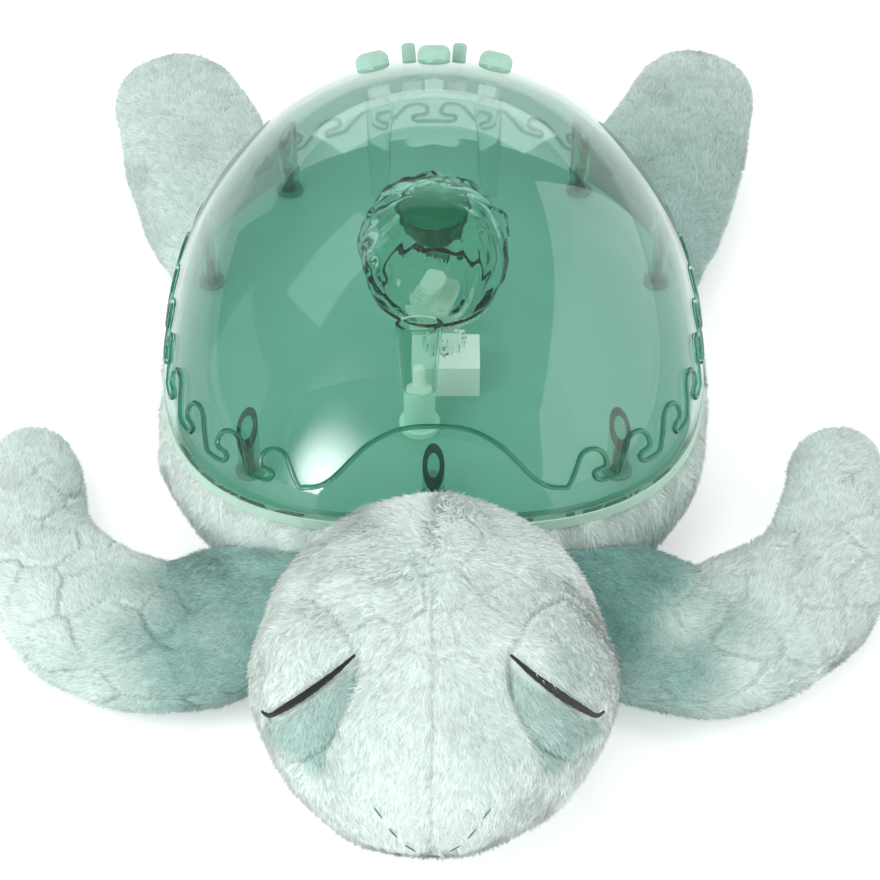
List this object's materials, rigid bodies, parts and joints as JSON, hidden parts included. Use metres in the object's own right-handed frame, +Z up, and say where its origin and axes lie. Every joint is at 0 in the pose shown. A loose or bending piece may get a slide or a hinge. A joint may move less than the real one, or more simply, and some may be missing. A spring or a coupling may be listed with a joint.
{
  "type": "plush turtle night light projector",
  "caption": "Stuffed sea turtle with a translucent plastic shell that covers a lamp and a turning rippled lens, with push buttons on the shell and a battery door under the belly.",
  "frame": {"origin": "bottom centre of the bounding box, on the surface that the turtle lies on", "axes": "+Z up, the turtle faces -Y, +X to the right as seen from the front"},
  "size_m": [0.2998, 0.371, 0.135],
  "materials": {
    "plush": "short brushed pile",
    "shell_green": "glossy translucent",
    "tray_cream": "satin",
    "deck_green": "satin",
    "rubber": "matte",
    "steel": "plated",
    "clear": "clear, polished",
    "ivory_plastic": "moulded",
    "pale_green_plastic": "moulded",
    "white_plastic": "moulded",
    "led": "clear epoxy",
    "black_plastic": "moulded",
    "board_green": "solder mask",
    "speaker_grey": "painted",
    "cell_grey": "printed sleeve, bare of words",
    "button_mint": "soft-touch satin"
  },
  "bodies": {
    "turtle": {"plush_body": "plush", "plush_head": "plush", "front_left_flipper": "plush", "front_right_flipper": "plush", "rear_left_flipper": "plush", "rear_right_flipper": "plush", "shell_dome": "shell_green", "base_tray": "tray_cream", "deck_plate": "deck_green", "boss_washers": "rubber", "shell_screws": "steel", "lens_spindle": "ivory_plastic", "lamp_post": "pale_green_plastic", "lamp_collar": "clear", "led_board": "white_plastic", "led_lens": "led", "motor": "steel", "motor_housing": "white_plastic", "key_bracket": "clear", "tact_switches": "white_plastic", "main_board": "board_green", "board_parts": "black_plastic", "board_screws": "steel", "speaker": "speaker_grey", "speaker_cone": "black_plastic", "aa_cells": "cell_grey", "cell_contacts": "steel"},
    "left_button": {"left_button": "button_mint"},
    "centre_button": {"centre_button": "button_mint"},
    "right_button": {"right_button": "button_mint"},
    "small_left_button": {"small_left_button": "button_mint"},
    "small_right_button": {"small_right_button": "button_mint"},
    "lens": {"ripple_lens": "clear", "lens_gear": "clear"},
    "pinion": {"motor_pinion": "clear"},
    "door": {"battery_door": "tray_cream", "door_screw": "steel"}
  },
  "joints": [
    {"name": "left_press", "type": "slide", "parent": "turtle", "child": "left_button", "axis": [0.2305, -0.5941, -0.7706], "range_m": [0, 0.0012], "stiffness_N_per_m": 600},
    {"name": "centre_press", "type": "slide", "parent": "turtle", "child": "centre_button", "axis": [0, -0.6136, -0.7896], "range_m": [0, 0.0012], "stiffness_N_per_m": 600},
    {"name": "right_press", "type": "slide", "parent": "turtle", "child": "right_button", "axis": [-0.2305, -0.5941, -0.7706], "range_m": [0, 0.0012], "stiffness_N_per_m": 600},
    {"name": "small_left_press", "type": "slide", "parent": "turtle", "child": "small_left_button", "axis": [0.086, -0.6843, -0.7242], "range_m": [0, 0.0012], "stiffness_N_per_m": 600},
    {"name": "small_right_press", "type": "slide", "parent": "turtle", "child": "small_right_button", "axis": [-0.086, -0.6843, -0.7242], "range_m": [0, 0.0012], "stiffness_N_per_m": 600},
    {"name": "lens_spin", "type": "hinge", "parent": "turtle", "child": "lens", "pos_m": [0, 0.01045, 0.066], "axis": [0, 0, 1], "continuous": true},
    {"name": "pinion_spin", "type": "hinge", "parent": "turtle", "child": "pinion", "pos_m": [0.0035, -0.01167, 0.066], "axis": [0, 0, 1], "continuous": true},
    {"name": "door_hinge", "type": "hinge", "parent": "turtle", "child": "door", "pos_m": [0, -0.0325, 0.0032], "axis": [-1, 0, 0], "range_deg": [0, 95]}
  ],
  "couplings": [
    {"joint": "pinion_spin", "follows": "lens_spin", "ratio": -2.5}
  ]
}
